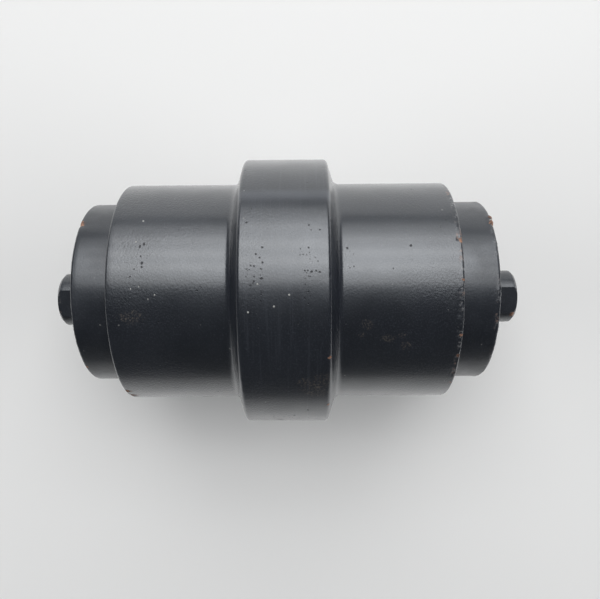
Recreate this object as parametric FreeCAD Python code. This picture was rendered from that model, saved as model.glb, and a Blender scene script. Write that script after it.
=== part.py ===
"""Track roller with a centre flange, for the undercarriage of a compact excavator.

Millimetres. The roller turns about +Y, and the origin is its centre. The shaft's key flats face +Z
and -Z, and its eccentric ends are offset towards +X. Pieces come in pairs: left is -Y, right is +Y.
Each piece is one STEP file in parts/, named after the piece.
"""
import FreeCAD
import Part
import math
import os

# ---- driving dimensions -----------------------------------------------------------------------
TREAD_R = 54.0            # the two rolling surfaces
FLANGE_R = 66.0           # centre guide flange
COLLAR_R = 44.6           # end collars
SHAFT_R = 17.5            # bearing journals
STUB_R = 13.25            # eccentric shaft ends
STUB_OFFSET = 3.8         # how far the ends' own axis lies from the roller's axis
SHELL_HALF = 77.5         # shell, centre to end face
COLLAR_HALF = 96.0        # centre to a collar's outer face
SHAFT_HALF = 115.0        # centre to a shaft end

# ---- flange and shell -------------------------------------------------------------------------
FLANGE_HALF = 19.5        # half width where flank and crown would meet
FLANK_ANGLE = 18.0        # flank's lean from the radial direction, degrees
CROWN_ROUND = 2.0         # rounding between crown and flank
ROOT_FILLET = 3.5         # fillet between flank and tread
SHELL_EDGE = 1.1          # rounding of the shell's outer edges
RESERVOIR_R = 25.0        # oil space between the bushes
RESERVOIR_HALF = 25.0
LIP_RECESS_R = 38.6       # counterbore that the collar's lip runs in
LIP_RECESS_FLOOR = 73.5   # its floor, from the centre
MOUTH_R = 33.0            # mouth of the seal housing

# ---- bearings ---------------------------------------------------------------------------------
RUNNING_GAP = 0.05        # radial, shaft to bush
BUSH_R = 20.5
BUSH_START, BUSH_END = 30.0, 62.0
BUSH_CHAMFER = 0.8
BUSH_SEAM = 0.3           # width of the wrapped bush's butt joint
GROOVE_LENGTH, GROOVE_R, GROOVE_DEPTH, GROOVE_COUNT = 22.0, 1.6, 0.6, 3
WASHER_R = 26.0
WASHER_BORE_R = 17.8
WASHER_GAP = 0.05         # radial, washer to its seat
WASHER_START, WASHER_END = 62.5, 65.0
END_FLOAT = 0.3           # each side, washer to collar hub

# ---- face seals -------------------------------------------------------------------------------
SEAL_PLANE = 76.0         # where the two metal rings meet, from the centre
FACE_GAP = 0.02           # half of the oil film's drawn thickness
SEAL_BORE_R = 22.6
SEAL_FACE_R = 30.0
SEAL_BAND_R = 27.6        # inner edge of the lapped band
SEAL_RELIEF = 0.4
SEAL_HEAD = 2.6           # thickness of the ring's head
RAMP_START, RAMP_END = 3.2, 8.9
RAMP_R = 26.4             # ring's ramp radius at RAMP_START
RAMP_SLOPE = 0.272        # fall in radius for each millimetre from the seal plane
TAIL_R, TAIL_START, TAIL_END = 25.4, 9.2, 9.8
TORIC_R = 2.6             # section radius of the rubber ring
TORIC_PLACE = 6.2         # its centre, from the seal plane
TORIC_GAP = 0.02
HOUSING_DEPTH = 10.2      # floor of each seal housing, from the seal plane

# ---- end collars ------------------------------------------------------------------------------
COLLAR_GAP = 0.8          # shell's end face to collar
COLLAR_EDGE = 1.2
COLLAR_INNER_EDGE = 0.6
LIP_R, LIP_BORE_R = 38.0, 34.5
LIP_END = 74.0
HUB_R = 21.6
BORE_CHAMFER = 0.8
PIN_R, PIN_WALL, PIN_SLOT = 3.0, 1.2, 1.0
PIN_PLACE = 91.2          # lock pin, from the centre
PIN_TOP, PIN_TIP = 42.8, 10.5     # distances of its ends below the axis
DRILL_POINT = math.tan(math.radians(31.0))   # rise of a drill's point over its radius

# ---- shaft ------------------------------------------------------------------------------------
RELIEF_R, RELIEF_HALF, RELIEF_RUN = 17.0, 26.0, 1.0
FLAT_HALF = 11.5          # stub centre to a key flat
STUB_CHAMFER = 1.5
SHOULDER_CHAMFER = 0.5
THREAD_R = 7.0            # mounting thread, wall drawn at its nominal radius
THREAD_END = 88.0
THREAD_MOUTH = 1.0
O_RING_PLACE, O_RING_WIDTH, O_RING_R = 81.0, 2.8, 15.6
O_RING_GROOVE_WIDTH = 3.4
O_RING_ROUND = 0.85
SNUG = 0.01               # drawn gap round the squeezed rubber
GALLERY_R = 2.5
PLUG_R, PLUG_START, PLUG_END = 4.86, 76.0, 84.5
PLUG_KEY, PLUG_KEY_DEPTH = 5.0, 4.5
PLUG_CHAMFER = 0.5

V = FreeCAD.Vector
AXIS = V(0, 1, 0)
OVERCUT = 1.0             # how far a cutting tool runs past what it cuts


# ---- drawing helpers --------------------------------------------------------------------------
def rounded_wire(corners, place):
    """Closed wire through corners (a, b) or (a, b, radius); place(a, b) gives the point in space."""
    flat = [(V(c[0], c[1], 0), c[2] if len(c) > 2 else 0.0) for c in corners]
    spans = []
    for i, (corner, radius) in enumerate(flat):
        before = (flat[i - 1][0] - corner).normalize()
        after = (flat[(i + 1) % len(flat)][0] - corner).normalize()
        if radius == 0.0:
            spans.append((corner, None, corner))
            continue
        half = before.getAngle(after) / 2
        reach = radius / math.tan(half)
        middle = (before + after).normalize() * (radius / math.sin(half) - radius)
        spans.append((corner + before * reach, corner + middle, corner + after * reach))
    edges = []
    for i, (start, middle, end) in enumerate(spans):
        if middle is not None:
            arc = Part.Arc(place(start.x, start.y), place(middle.x, middle.y), place(end.x, end.y))
            edges.append(arc.toShape())
        following = spans[(i + 1) % len(spans)][0]
        if end.distanceToPoint(following) > 1e-6:
            line = Part.LineSegment(place(end.x, end.y), place(following.x, following.y))
            edges.append(line.toShape())
    return Part.Wire(edges)


def turned(corners):
    """Solid of revolution about the roller's axis from corners (radius, y) or (radius, y, rounding)."""
    outline = rounded_wire(corners, lambda radius, y: V(radius, y, 0))
    solid = Part.Face(outline).revolve(V(0, 0, 0), AXIS, 360)
    return solid if solid.Volume > 0 else solid.reversed()


def rod(radius, start, end, x=0.0):
    """Cylinder along Y from start to end, on an axis shifted to x."""
    return Part.makeCylinder(radius, end - start, V(x, start, 0), AXIS)


def cone(radius_start, radius_end, start, end, x=0.0):
    """Cone along Y from start to end, on an axis shifted to x."""
    return Part.makeCone(radius_start, radius_end, end - start, V(x, start, 0), AXIS)


def mirrored(shape):
    """The same piece for the left side."""
    return shape.mirror(V(0, 0, 0), AXIS)


def ramp_radius(distance):
    """Radius of a metal seal ring's ramp at a distance from the seal plane."""
    return RAMP_R - RAMP_SLOPE * (distance - RAMP_START)


def housing_radius(distance):
    """Radius of the seal housing's ramp, one rubber section outside the ring's ramp."""
    lean = math.cos(math.atan(RAMP_SLOPE))
    return ramp_radius(distance) + 2 * (TORIC_R + TORIC_GAP) / lean


# ---- the turning pieces -----------------------------------------------------------------------
def roller_shell():
    """Forged shell: two treads, the centre flange, bush seats and a seal housing at each end."""
    flank_foot = FLANGE_HALF + (FLANGE_R - TREAD_R) * math.tan(math.radians(FLANK_ANGLE))
    housing_floor = SEAL_PLANE - HOUSING_DEPTH
    ramp_mouth = LIP_RECESS_FLOOR - 0.5
    half_outside = [
        (FLANGE_R, FLANGE_HALF, CROWN_ROUND),
        (TREAD_R, flank_foot, ROOT_FILLET),
        (TREAD_R, SHELL_HALF, SHELL_EDGE),
        (LIP_RECESS_R, SHELL_HALF, SHELL_EDGE / 2),
        (LIP_RECESS_R, LIP_RECESS_FLOOR),
        (MOUTH_R, LIP_RECESS_FLOOR),
        (housing_radius(SEAL_PLANE - ramp_mouth), ramp_mouth),
        (housing_radius(HOUSING_DEPTH), housing_floor),
        (WASHER_R + WASHER_GAP, housing_floor),
        (WASHER_R + WASHER_GAP, WASHER_START),
        (BUSH_R, WASHER_START),
        (BUSH_R, BUSH_START),
        (RESERVOIR_R, RESERVOIR_HALF),
    ]
    other_half = [(corner[0], -corner[1]) + tuple(corner[2:]) for corner in reversed(half_outside)]
    return turned(half_outside + other_half)


def bush():
    """Wrapped bearing bush, with its butt joint and axial oil grooves."""
    bore = SHAFT_R + RUNNING_GAP
    body = turned([
        (bore, BUSH_START + BUSH_CHAMFER), (bore + BUSH_CHAMFER / 2, BUSH_START),
        (BUSH_R - BUSH_CHAMFER, BUSH_START), (BUSH_R, BUSH_START + 2 * BUSH_CHAMFER),
        (BUSH_R, BUSH_END - 2 * BUSH_CHAMFER), (BUSH_R - BUSH_CHAMFER, BUSH_END),
        (bore + BUSH_CHAMFER / 2, BUSH_END), (bore, BUSH_END - BUSH_CHAMFER),
    ])
    middle = (BUSH_START + BUSH_END) / 2
    groove = rod(GROOVE_R, middle - GROOVE_LENGTH / 2, middle + GROOVE_LENGTH / 2)
    groove.translate(V(bore + GROOVE_DEPTH - GROOVE_R, 0, 0))
    for i in range(GROOVE_COUNT):
        turn = FreeCAD.Rotation(AXIS, 360.0 * i / GROOVE_COUNT)
        cutter = groove.copy()
        cutter.Placement = FreeCAD.Placement(V(0, 0, 0), turn).multiply(cutter.Placement)
        body = body.cut(cutter)
    length = BUSH_END - BUSH_START + 2 * OVERCUT
    seam = Part.makeBox(BUSH_SEAM, length, BUSH_R, V(-BUSH_SEAM / 2, BUSH_START - OVERCUT, 0))
    return body.cut(seam)


def thrust_washer():
    """Flat washer between the shell and a collar's hub, with radial oil grooves on its outer face."""
    body = turned([
        (WASHER_BORE_R, WASHER_START), (WASHER_R, WASHER_START),
        (WASHER_R, WASHER_END), (WASHER_BORE_R, WASHER_END),
    ])
    for i in range(GROOVE_COUNT):
        length = WASHER_R - WASHER_BORE_R + 2 * OVERCUT
        start = V(WASHER_BORE_R - OVERCUT, WASHER_END + GROOVE_R - GROOVE_DEPTH, 0)
        groove = Part.makeCylinder(GROOVE_R, length, start, V(1, 0, 0))
        groove.rotate(V(0, 0, 0), AXIS, 360.0 * (i + 0.5) / GROOVE_COUNT)
        body = body.cut(groove)
    return body


def seal_ring(side):
    """Metal face-seal ring; side is -1 for the shell's ring, +1 for the collar's."""
    def at(distance):
        return SEAL_PLANE + side * distance
    return turned([
        (SEAL_BORE_R, at(SEAL_RELIEF)), (SEAL_BAND_R, at(SEAL_RELIEF)),
        (SEAL_BAND_R, at(FACE_GAP)), (SEAL_FACE_R, at(FACE_GAP)),
        (SEAL_FACE_R, at(SEAL_HEAD)), (ramp_radius(RAMP_START), at(SEAL_HEAD)),
        (ramp_radius(RAMP_START), at(RAMP_START)), (ramp_radius(RAMP_END), at(RAMP_END)),
        (TAIL_R, at(TAIL_START)), (TAIL_R, at(TAIL_END)), (SEAL_BORE_R, at(TAIL_END)),
    ])


def toric_ring(side):
    """Rubber ring between a metal seal ring and its housing."""
    lean = math.atan(RAMP_SLOPE)
    distance = TORIC_PLACE
    radius = ramp_radius(distance) + (TORIC_R + TORIC_GAP) / math.cos(lean)
    centre = V(0, SEAL_PLANE + side * distance, 0)
    return Part.makeTorus(radius, TORIC_R, centre, AXIS)


# ---- the fixed pieces -------------------------------------------------------------------------
def end_collar():
    """Collar pinned to the shaft: dust lip, seal housing, hub, and the lock pin's hole."""
    inner_face = SHELL_HALF + COLLAR_GAP
    ramp_mouth = inner_face + 0.7
    housing_floor = SEAL_PLANE + HOUSING_DEPTH
    body = turned([
        (SHAFT_R + BORE_CHAMFER, COLLAR_HALF), (COLLAR_R, COLLAR_HALF, COLLAR_EDGE),
        (COLLAR_R, inner_face, COLLAR_INNER_EDGE), (LIP_R, inner_face),
        (LIP_R, LIP_END), (LIP_BORE_R, LIP_END), (LIP_BORE_R, inner_face),
        (housing_radius(ramp_mouth - SEAL_PLANE), ramp_mouth),
        (housing_radius(HOUSING_DEPTH), housing_floor),
        (HUB_R, housing_floor, ROOT_FILLET / 4), (HUB_R, WASHER_END + END_FLOAT),
        (SHAFT_R + BORE_CHAMFER, WASHER_END + END_FLOAT),
        (SHAFT_R, WASHER_END + END_FLOAT + BORE_CHAMFER), (SHAFT_R, COLLAR_HALF - BORE_CHAMFER),
    ])
    pin_hole = Part.makeCylinder(PIN_R, COLLAR_R, V(0, PIN_PLACE, -SHAFT_R / 2), V(0, 0, -1))
    return body.cut(pin_hole)


def lock_pin():
    """Slotted spring pin, driven radially through the collar into the shaft."""
    length = PIN_TOP - PIN_TIP
    start = V(0, PIN_PLACE, -PIN_TOP)
    up = V(0, 0, 1)
    pin = Part.makeCylinder(PIN_R, length, start, up)
    pin = pin.makeChamfer(PIN_WALL / 2, [edge for edge in pin.Edges if edge.Closed])
    pin = pin.cut(Part.makeCylinder(PIN_R - PIN_WALL, length + 2 * OVERCUT, start - up * OVERCUT, up))
    corner = V(-PIN_SLOT / 2, PIN_PLACE, -PIN_TOP - OVERCUT)
    return pin.cut(Part.makeBox(PIN_SLOT, PIN_R + OVERCUT, length + 2 * OVERCUT, corner))


def shaft():
    """Stationary shaft: journals, eccentric keyed ends, tapped mounting holes and the oil gallery."""
    half = [
        (RELIEF_R, RELIEF_HALF), (SHAFT_R, RELIEF_HALF + RELIEF_RUN),
        (SHAFT_R, O_RING_PLACE - O_RING_GROOVE_WIDTH / 2),
        (O_RING_R, O_RING_PLACE - O_RING_GROOVE_WIDTH / 2),
        (O_RING_R, O_RING_PLACE + O_RING_GROOVE_WIDTH / 2),
        (SHAFT_R, O_RING_PLACE + O_RING_GROOVE_WIDTH / 2),
        (SHAFT_R, COLLAR_HALF - SHOULDER_CHAMFER), (SHAFT_R - SHOULDER_CHAMFER, COLLAR_HALF),
        (0.0, COLLAR_HALF),
    ]
    other_half = [(radius, -y) for radius, y in reversed(half)]
    body = turned(half + other_half)
    for side in (1, -1):
        end = key_stub()
        hole = mounting_hole()
        pin_hole = lock_pin_hole()
        if side < 0:
            end, hole, pin_hole = mirrored(end), mirrored(hole), mirrored(pin_hole)
        body = body.fuse(end).cut(hole).cut(pin_hole)
    body = body.cut(oil_gallery())
    return body.removeSplitter()


def key_stub():
    """One eccentric end with its two flats."""
    root = COLLAR_HALF - 2 * OVERCUT
    stub = rod(STUB_R, root, SHAFT_HALF - STUB_CHAMFER, STUB_OFFSET)
    tip = cone(STUB_R, STUB_R - STUB_CHAMFER, SHAFT_HALF - STUB_CHAMFER, SHAFT_HALF, STUB_OFFSET)
    slab = Part.makeBox(4 * STUB_R, SHAFT_HALF - root, 2 * FLAT_HALF,
                        V(STUB_OFFSET - 2 * STUB_R, root, -FLAT_HALF))
    return stub.fuse(tip).common(slab)


def mounting_hole():
    """Blind hole of the mounting thread, with a countersunk mouth and a drill point."""
    depth_run = THREAD_R * DRILL_POINT
    hole = rod(THREAD_R, THREAD_END, SHAFT_HALF, STUB_OFFSET)
    mouth = cone(THREAD_R, THREAD_R + THREAD_MOUTH, SHAFT_HALF - THREAD_MOUTH, SHAFT_HALF, STUB_OFFSET)
    point = cone(0.0, THREAD_R, THREAD_END - depth_run, THREAD_END, STUB_OFFSET)
    return hole.fuse(mouth).fuse(point)


def lock_pin_hole():
    """Blind radial hole in the shaft for one lock pin."""
    hole = Part.makeCylinder(PIN_R, SHAFT_R + OVERCUT - PIN_TIP,
                             V(0, PIN_PLACE, -SHAFT_R - OVERCUT), V(0, 0, 1))
    point = Part.makeCone(PIN_R, 0.0, PIN_R * DRILL_POINT, V(0, PIN_PLACE, -PIN_TIP), V(0, 0, 1))
    return hole.fuse(point)


def oil_gallery():
    """Plug seat behind the right mounting hole, the gallery to the middle, and its cross hole."""
    seat = rod(PLUG_R, PLUG_START, THREAD_END, STUB_OFFSET)
    gallery = rod(GALLERY_R, 0.0, PLUG_START, STUB_OFFSET)
    cross = Part.makeCylinder(GALLERY_R, 4 * SHAFT_R, V(STUB_OFFSET, 0, -2 * SHAFT_R), V(0, 0, 1))
    return seat.fuse(gallery).fuse(cross)


def oil_plug():
    """Plug with a hexagon socket, screwed in behind the right mounting thread."""
    plug = rod(PLUG_R, PLUG_START, PLUG_END - PLUG_CHAMFER, STUB_OFFSET)
    plug = plug.fuse(cone(PLUG_R, PLUG_R - PLUG_CHAMFER, PLUG_END - PLUG_CHAMFER, PLUG_END, STUB_OFFSET))
    corner_r = PLUG_KEY / math.sqrt(3)
    corners = [V(STUB_OFFSET + corner_r * math.cos(math.radians(60 * i)), PLUG_END - PLUG_KEY_DEPTH,
                 corner_r * math.sin(math.radians(60 * i))) for i in range(6)]
    hexagon = Part.Face(Part.makePolygon(corners + corners[:1]))
    return plug.cut(hexagon.extrude(AXIS * (PLUG_KEY_DEPTH + OVERCUT))).removeSplitter()


def shaft_o_ring():
    """Rubber ring squeezed between a collar's bore and its groove in the shaft."""
    inner, outer = O_RING_R + SNUG, SHAFT_R - SNUG
    low, high = O_RING_PLACE - O_RING_WIDTH / 2, O_RING_PLACE + O_RING_WIDTH / 2
    return turned([
        (inner, low, O_RING_ROUND), (outer, low, O_RING_ROUND),
        (outer, high, O_RING_ROUND), (inner, high, O_RING_ROUND),
    ])


# ---- the assembly -----------------------------------------------------------------------------
def pieces():
    """Every piece by name. A piece made for the right side is mirrored for the left."""
    made = {"roller_shell": roller_shell(), "shaft": shaft(), "oil_plug": oil_plug()}
    paired = {
        "bush": bush(),
        "thrust_washer": thrust_washer(),
        "turning_seal_ring": seal_ring(-1),
        "turning_toric": toric_ring(-1),
        "fixed_seal_ring": seal_ring(1),
        "fixed_toric": toric_ring(1),
        "end_collar": end_collar(),
        "lock_pin": lock_pin(),
        "shaft_o_ring": shaft_o_ring(),
    }
    for name, shape in paired.items():
        made["right_" + name] = shape
        made["left_" + name] = mirrored(shape)
    return made


def main():
    os.makedirs("parts", exist_ok=True)
    for name, shape in sorted(pieces().items()):
        solids = shape.Solids
        print(f"{name}: solids {len(solids)}, valid {shape.isValid()}, {shape.Volume / 1000:.2f} cm3")
        (solids[0] if len(solids) == 1 else shape).exportStep(f"parts/{name}.step")


main()
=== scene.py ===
"""Track roller: its looks, light and camera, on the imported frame. Metres; the roller turns about +Y."""
import math
import random

import bpy
from mathutils import Matrix, Vector


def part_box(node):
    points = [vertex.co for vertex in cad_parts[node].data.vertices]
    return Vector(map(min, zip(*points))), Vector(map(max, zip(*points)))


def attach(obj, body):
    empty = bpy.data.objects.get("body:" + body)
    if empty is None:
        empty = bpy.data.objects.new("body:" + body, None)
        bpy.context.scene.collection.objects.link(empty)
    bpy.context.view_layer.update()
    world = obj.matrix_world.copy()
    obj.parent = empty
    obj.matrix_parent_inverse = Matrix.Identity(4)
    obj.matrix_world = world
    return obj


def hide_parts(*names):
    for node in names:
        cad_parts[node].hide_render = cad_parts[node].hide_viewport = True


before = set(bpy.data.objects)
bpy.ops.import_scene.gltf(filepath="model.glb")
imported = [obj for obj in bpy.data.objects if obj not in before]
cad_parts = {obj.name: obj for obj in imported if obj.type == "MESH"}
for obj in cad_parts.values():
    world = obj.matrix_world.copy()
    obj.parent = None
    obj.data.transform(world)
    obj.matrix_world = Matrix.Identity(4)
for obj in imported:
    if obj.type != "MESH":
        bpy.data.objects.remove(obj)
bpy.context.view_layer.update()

MM = 0.001
SIDES = {"left": -1, "right": 1}

# ---- sizes read from the frame -----------------------------------------------------------------
SHELL_LOW, SHELL_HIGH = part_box("roller_shell")
COLLAR_LOW, COLLAR_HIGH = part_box("right_end_collar")
SHAFT_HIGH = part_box("shaft")[1]
FLANGE_R = SHELL_HIGH[0]
SHELL_HALF = SHELL_HIGH[1]
COLLAR_R = COLLAR_HIGH[0]
COLLAR_OUT = COLLAR_HIGH[1]
HUB_END = COLLAR_LOW[1]
JOURNAL_R = SHAFT_HIGH[0]
SHAFT_HALF = SHAFT_HIGH[1]

# ---- sizes of the shell ------------------------------------------------------------------------
TREAD_R = 54.0 * MM
FLANGE_HALF = 19.5 * MM
FLANK_ANGLE = 18.0
FLANK_FOOT = FLANGE_HALF + (FLANGE_R - TREAD_R) * math.tan(math.radians(FLANK_ANGLE))
CROWN_ROUND, ROOT_FILLET, SHELL_EDGE, RECESS_EDGE = 2.0 * MM, 3.5 * MM, 1.1 * MM, 0.5 * MM
RECESS_R, RECESS_FLOOR = 38.6 * MM, 73.5 * MM
HOUSING = [(33.0 * MM, 73.5 * MM), (32.1 * MM, 73.0 * MM), (29.9 * MM, 65.8 * MM)]
WASHER_SEAT_R, WASHER_SEAT = 26.05 * MM, 62.5 * MM
BUSH_SEAT_R, BUSH_SEAT = 20.5 * MM, 30.0 * MM
RESERVOIR_R, RESERVOIR_HALF = 25.0 * MM, 25.0 * MM

# ---- sizes of the collars and the shaft --------------------------------------------------------
COLLAR_IN = 78.3 * MM
COLLAR_ROUND, COLLAR_INNER_ROUND = 1.2 * MM, 0.6 * MM
HUB_CHAMFER, HUB_FACE_CHAMFER = 0.8 * MM, 0.3 * MM
LIP_R, LIP_BORE_R, LIP_END = 38.0 * MM, 34.5 * MM, 74.0 * MM
COLLAR_HOUSING = [(32.1 * MM, 79.0 * MM), (29.9 * MM, 86.2 * MM)]
HUB_R = 21.6 * MM
PIN_R, PIN_PLACE = 3.0 * MM, 91.2 * MM
STUB_R, STUB_OFFSET, STUB_CHAMFER = 13.25 * MM, 3.8 * MM, 1.5 * MM
FLAT_HALF = 11.5 * MM
THREAD_R, THREAD_DEPTH, THREAD_PITCH = 7.0 * MM, 0.92 * MM, 1.5 * MM
THREAD_END, THREAD_MOUTH = 88.0 * MM, 1.0 * MM
THREAD_RINGS = 12
PLUG_SEAT_R, PLUG_SEAT_TOP, PLUG_SEAT_END, DRILL_TIP = 4.86 * MM, 86.7 * MM, 76.0 * MM, 83.8 * MM
DRILL_TIP_R = 0.4 * MM
GROOVE_R, GROOVE_OUT, GROOVE_IN = 15.6 * MM, 82.7 * MM, 79.3 * MM
RELIEF_R, RELIEF_START, RELIEF_END = 17.0 * MM, 27.0 * MM, 26.0 * MM
JOURNAL_STATIONS = [
    (JOURNAL_R, GROOVE_OUT), (GROOVE_R, GROOVE_OUT), (GROOVE_R, GROOVE_IN), (JOURNAL_R, GROOVE_IN),
    (JOURNAL_R, RELIEF_START), (RELIEF_R, RELIEF_END),
]
SHARP_CREASE = 27.0

# ---- mesh density ------------------------------------------------------------------------------
SHELL_STEPS, COLLAR_STEPS, SHAFT_STEPS = 460, 320, 120
SHELL_SPACING, COLLAR_SPACING = 2.4 * MM, 2.0 * MM
WORN_BAND, WORN_BAND_STEPS, FINE_WEAR = 3.0 * MM, 5, 0.5
COARSER_INSIDE = 4

# ---- places on the skins, in millimetres -------------------------------------------------------
TREAD, FLANGE, COLLAR = TREAD_R / MM, FLANGE_R / MM, COLLAR_R / MM
RIM, SHOULDER, COLLAR_EDGE = SHELL_HALF / MM, FLANGE_HALF / MM, COLLAR_OUT / MM
STUB_END = SHAFT_HALF / MM
LEFT_EDGE, RIGHT_EDGE = (-COLLAR_EDGE, 1 - COLLAR_EDGE), (COLLAR_EDGE - 1, COLLAR_EDGE)
LEFT_LIP = (-COLLAR_EDGE, 0.5 - COLLAR_EDGE)
RIGHT_SHOULDER, LEFT_SHOULDER = (0.4 * SHOULDER, 0.8 * SHOULDER), (-0.8 * SHOULDER, -0.4 * SHOULDER)


# ================================================================================================
# Wear, and one painted highlight: where marks gather, and how many
# ================================================================================================
def strewn(name, count, radius, along, around, reach, strength):
    """Marks strewn over one patch: radius, y, degrees up from the front, reach, strength; millimetres."""
    dice = random.Random(name)
    return [
        (radius, dice.uniform(*along), dice.uniform(*around), dice.uniform(*reach), dice.uniform(*strength))
        for _ in range(count)
    ]


RIM_WEAR = {"left": 0.15, "right": 0.8}
CROWN_WEAR = 0.2
COLLAR_WEAR = {"left": 0.30, "right": 0.60}
SHELL_UNEVENNESS, COLLAR_UNEVENNESS = 0.07 * MM, 0.06 * MM
SHELL_CHIP_DEPTH, COLLAR_CHIP_DEPTH = 0.45 * MM, 0.5 * MM
DENTS = {
    "shell": (strewn("right rim nicks", 9, TREAD, (RIM - 3, RIM - 1), (-35, 30), (1.1, 1.6), (0.3, 0.5))
              + strewn("left rim nicks", 2, TREAD, (1 - RIM, 0.5 - RIM), (-80, -65), (1.8, 2.2), (0.4, 0.6))
              + strewn("flange nicks", 4, FLANGE, (-SHOULDER, SHOULDER), (-80, -70), (1.5, 2.5), (0.3, 0.7))),
    "left_collar": strewn("left knock", 1, COLLAR, LEFT_EDGE, (40, 60), (1.5, 2), (0.4, 0.6)),
    "right_collar": (strewn("burr", 2, COLLAR, RIGHT_EDGE, (40, 50), (2, 3), (-1.2, -0.9))
                     + strewn("burr's notch", 1, COLLAR, RIGHT_EDGE, (42, 48), (1, 1.5), (0.7, 0.9))),
}
SHELL_PIT_FIELDS = (
    strewn("right shoulder fields", 3, FLANGE, RIGHT_SHOULDER, (-10, 20), (6, 12), (1.5, 3))
    + strewn("left shoulder fields", 2, FLANGE, LEFT_SHOULDER, (0, 20), (7, 10), (1.5, 2.5))
    + strewn("left tread field", 1, TREAD, (-0.85 * RIM, -0.75 * RIM), (15, 25), (8, 10), (4, 5))
    + strewn("right tread field", 1, TREAD, (0.3 * RIM, 0.4 * RIM), (10, 15), (5, 7), (1, 1.2))
    + strewn("low flange field", 1, FLANGE, (-0.5 * SHOULDER, 0), (-80, -70), (12, 15), (0.7, 0.9))
)
SHELL_PITS = (
    strewn("right shoulder pits", 7, FLANGE, (0.5 * SHOULDER, 0.9 * SHOULDER), (0, 25), (0.35, 0.5), (0.8, 1))
    + strewn("left shoulder pits", 6, FLANGE, LEFT_SHOULDER, (0, 25), (0.4, 0.6), (0.7, 1))
    + strewn("left tread pits", 5, TREAD, (-0.82 * RIM, -0.78 * RIM), (10, 30), (0.4, 0.9), (1, 1.8))
    + strewn("right tread pits", 4, TREAD, (0.35 * RIM, 0.85 * RIM), (5, 20), (0.35, 0.65), (1, 1))
    + strewn("low shoulder pits", 2, FLANGE, (-SHOULDER, SHOULDER), (-65, -55), (0.6, 0.8), (1, 1))
)
SHELL_SCRATCHES = strewn("scratches", 2, TREAD, (-0.85 * RIM, -0.75 * RIM), (-5, 5), (0.5, 0.7), (0.7, 2))
SHELL_PALE_SPECKS = (
    strewn("flange specks", 4, FLANGE, (-0.9 * SHOULDER, 0.2 * SHOULDER), (-20, 15), (0.4, 0.5), (1, 1))
    + strewn("left tread specks", 4, TREAD, (-0.95 * RIM, -0.7 * RIM), (-10, 35), (0.35, 0.6), (1, 1.3))
)
SHELL_DIRT = (
    strewn("flange dirt", 3, FLANGE, (0.4 * SHOULDER, 0.9 * SHOULDER), (-45, -15), (3, 6), (0.6, 0.8))
    + strewn("right tread dirt", 6, TREAD, (0.4 * RIM, 0.8 * RIM), (-30, -15), (1, 3.5), (0.5, 1))
    + strewn("left tread dirt", 1, TREAD, (-0.9 * RIM, -0.8 * RIM), (-15, -10), (3, 3.5), (0.5, 0.6))
)
SHELL_RUST = (
    strewn("left rim rust", 3, TREAD, (0.5 - RIM, 1 - RIM), (-80, -60), (2, 3), (0.7, 0.9))
    + strewn("right rim rust", 5, TREAD, (RIM - 1, RIM - 0.6), (-40, 30), (0.6, 1.2), (0.8, 1))
    + strewn("flange edge rust", 2, FLANGE, (SHOULDER - 0.7, SHOULDER), (-80, -15), (0.6, 1.1), (0.8, 1))
)
# Painted highlight: a pale stripe along the flange, put where the edge of the light reflects in it.
SHELL_PAINTED_HIGHLIGHTS = [(FLANGE, 38.0, 5.0)]  # radius, degrees, width
COLLAR_RUST = (
    strewn("left collar rust", 2, COLLAR, LEFT_LIP, (45, 60), (2, 2.6), (1, 1))
    + strewn("left collar low rust", 1, COLLAR, LEFT_LIP, (-55, -45), (1, 1.4), (1, 1))
    + strewn("burr rust", 2, COLLAR, (COLLAR_EDGE - 0.6, COLLAR_EDGE), (42, 52), (1.4, 2.2), (1, 1))
)
COLLAR_PALE_SPECKS = strewn(
    "burr metal", 2, COLLAR, (COLLAR_EDGE - 0.5, COLLAR_EDGE), (40, 50), (0.9, 1.3), (1, 1))
STUB_RUST = (
    strewn("left stub rust", 2, 10.0, (4 - STUB_END, 10 - STUB_END), (70, 85), (2.2, 3.2), (1, 1))
    + strewn("right stub rust", 1, 16.0, (STUB_END - 4, STUB_END - 2), (-65, -55), (1.5, 1.7), (1, 1))
)


# ================================================================================================
# Node helpers
# ================================================================================================
def add(tree, kind, inputs=None, **settings):
    """A new node; inputs maps a socket's name or number to a value or to another node's output."""
    new = tree.nodes.new(kind)
    for name, value in settings.items():
        setattr(new, name, value)
    for key, value in (inputs or {}).items():
        socket = new.inputs[key]
        if isinstance(value, bpy.types.NodeSocket):
            tree.links.new(value, socket)
        else:
            socket.default_value = value
    return new


def maths(tree, operation, a, b=0.0, c=0.0):
    """Output of a Math node."""
    return add(tree, "ShaderNodeMath", {0: a, 1: b, 2: c}, operation=operation).outputs[0]


def vector_maths(tree, operation, a, b=(0.0, 0.0, 0.0)):
    """Vector output of a Vector Math node."""
    return add(tree, "ShaderNodeVectorMath", {0: a, 1: b}, operation=operation).outputs[0]


def scaled(tree, vector, factor):
    """A vector times a number."""
    return add(tree, "ShaderNodeVectorMath", {0: vector, "Scale": factor}, operation="SCALE").outputs[0]


def ramped(tree, value, low, high, to_low=0.0, to_high=1.0):
    """Value eased from low..high to to_low..to_high, and held outside that."""
    new = add(tree, "ShaderNodeMapRange", {0: value, 1: low, 2: high, 3: to_low, 4: to_high},
              interpolation_type="SMOOTHSTEP")
    return new.outputs[0]


def noise(tree, place, scale, detail=2.0, roughness=0.5, distortion=0.0):
    """Factor of a noise texture, 0 to 1."""
    settings = {"Vector": place, "Scale": scale, "Detail": detail, "Roughness": roughness,
                "Distortion": distortion}
    return add(tree, "ShaderNodeTexNoise", settings).outputs["Fac"]


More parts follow.
